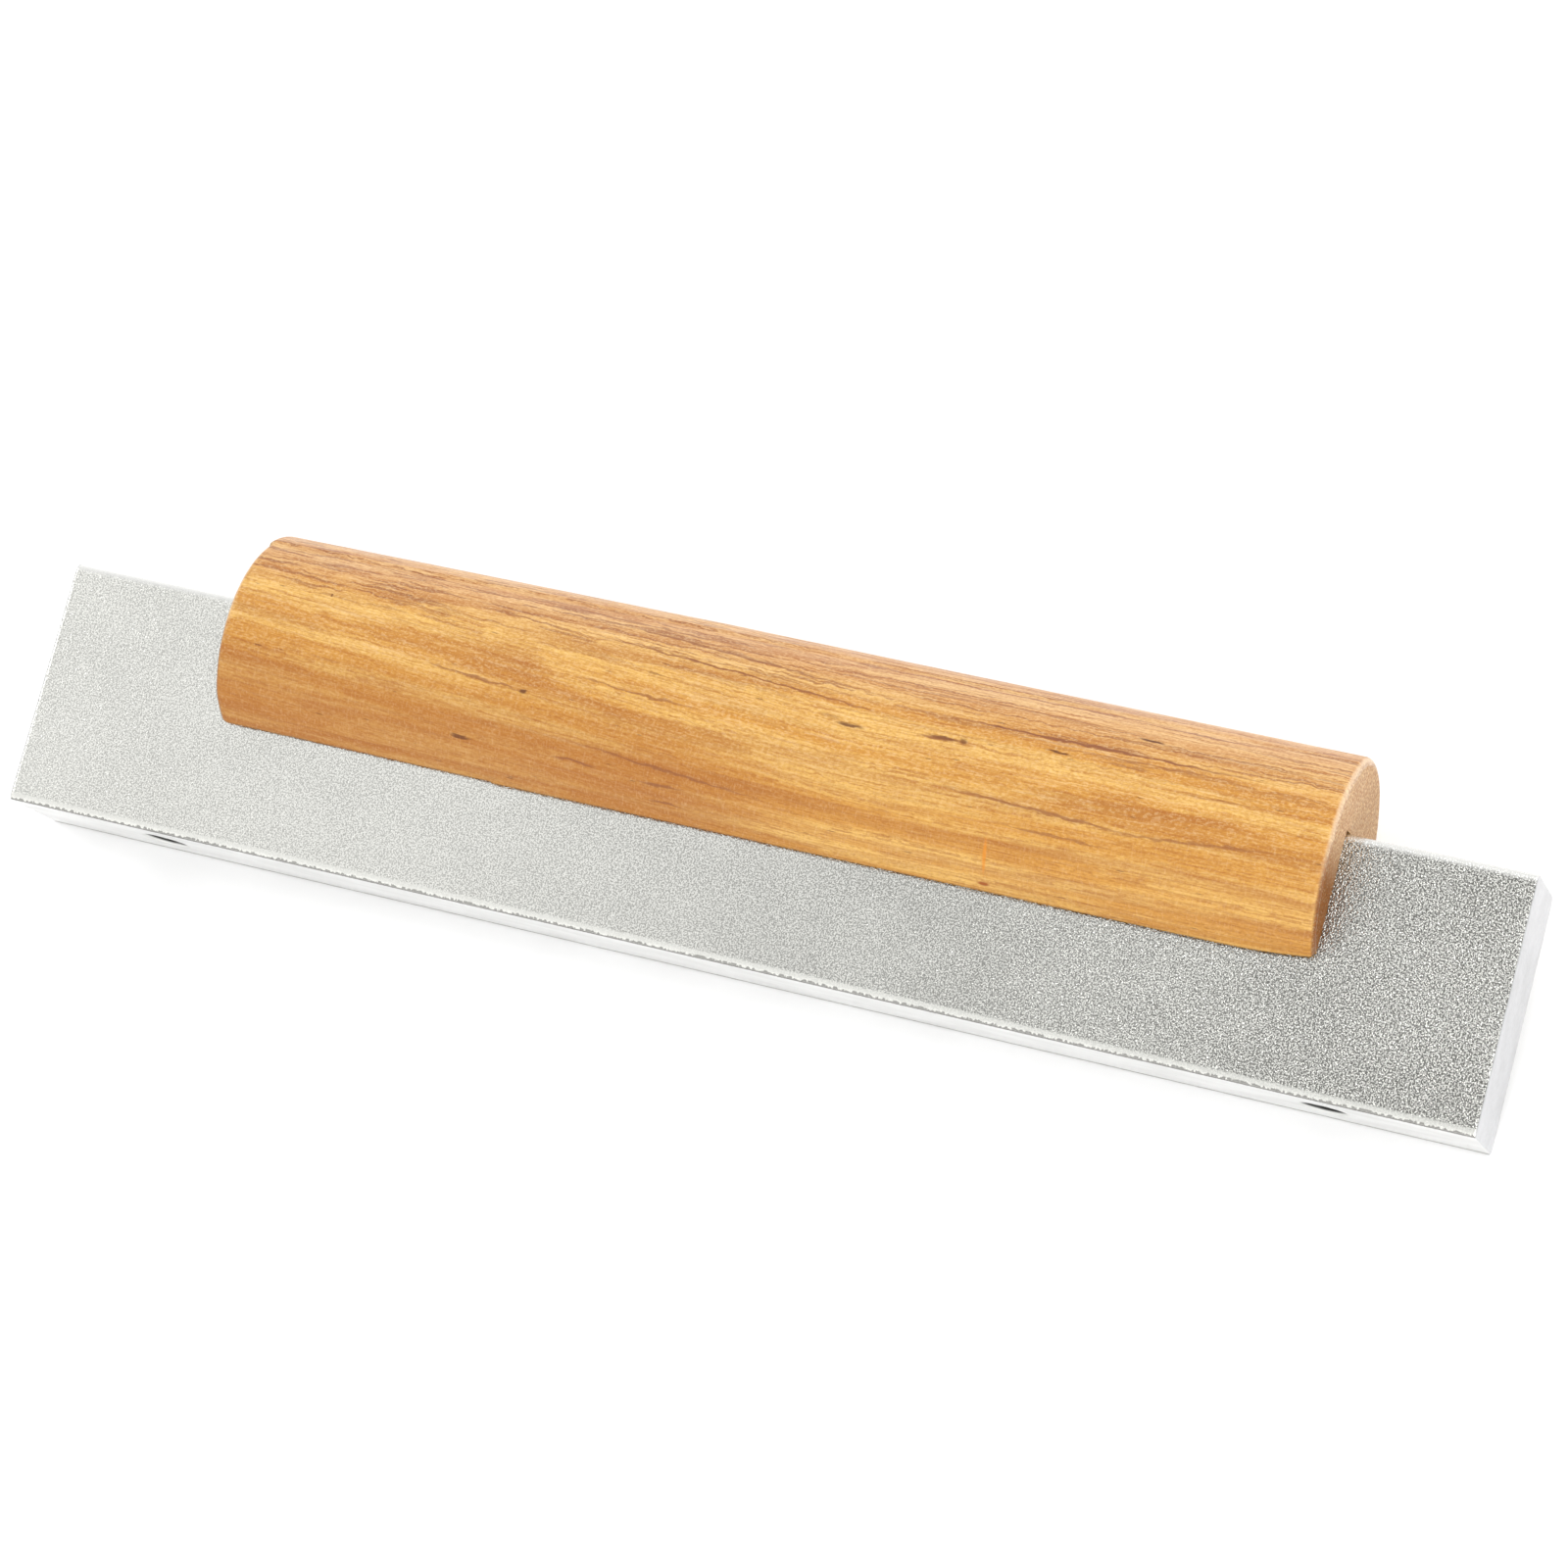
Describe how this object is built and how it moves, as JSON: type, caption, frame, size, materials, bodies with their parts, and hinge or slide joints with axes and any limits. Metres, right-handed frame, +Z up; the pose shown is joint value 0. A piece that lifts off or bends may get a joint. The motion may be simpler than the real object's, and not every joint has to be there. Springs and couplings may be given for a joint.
{
  "type": "flat levelling file",
  "caption": "Flat file with a straight granular metal bar, a smooth milled sole, and a slotted round wooden handle glued along its back edge.",
  "frame": {"origin": "on the bench, under the middle of the tool's bounding box, with the tool lying on its side", "axes": "+X along the bar, +Y from the sole towards the handle's back, +Z up from the bench. The tool rests on the handle's round back and the bar's lower long edge, so its wide faces tilt 16.06 degrees towards the sole side"},
  "size_m": [0.2, 0.0448, 0.03],
  "materials": {
    "blasted_aluminium": "coarse blasted and anodised on the wide faces and long edges, milled bright on the sole and ends",
    "varnished_wood": "clear satin varnish over golden brown straight-grained wood",
    "cured_glue": "thin cured amber glue line"
  },
  "bodies": {
    "root": {"metal_bar": "blasted_aluminium", "wooden_handle": "varnished_wood", "glue_bed": "cured_glue"}
  },
  "joints": []
}
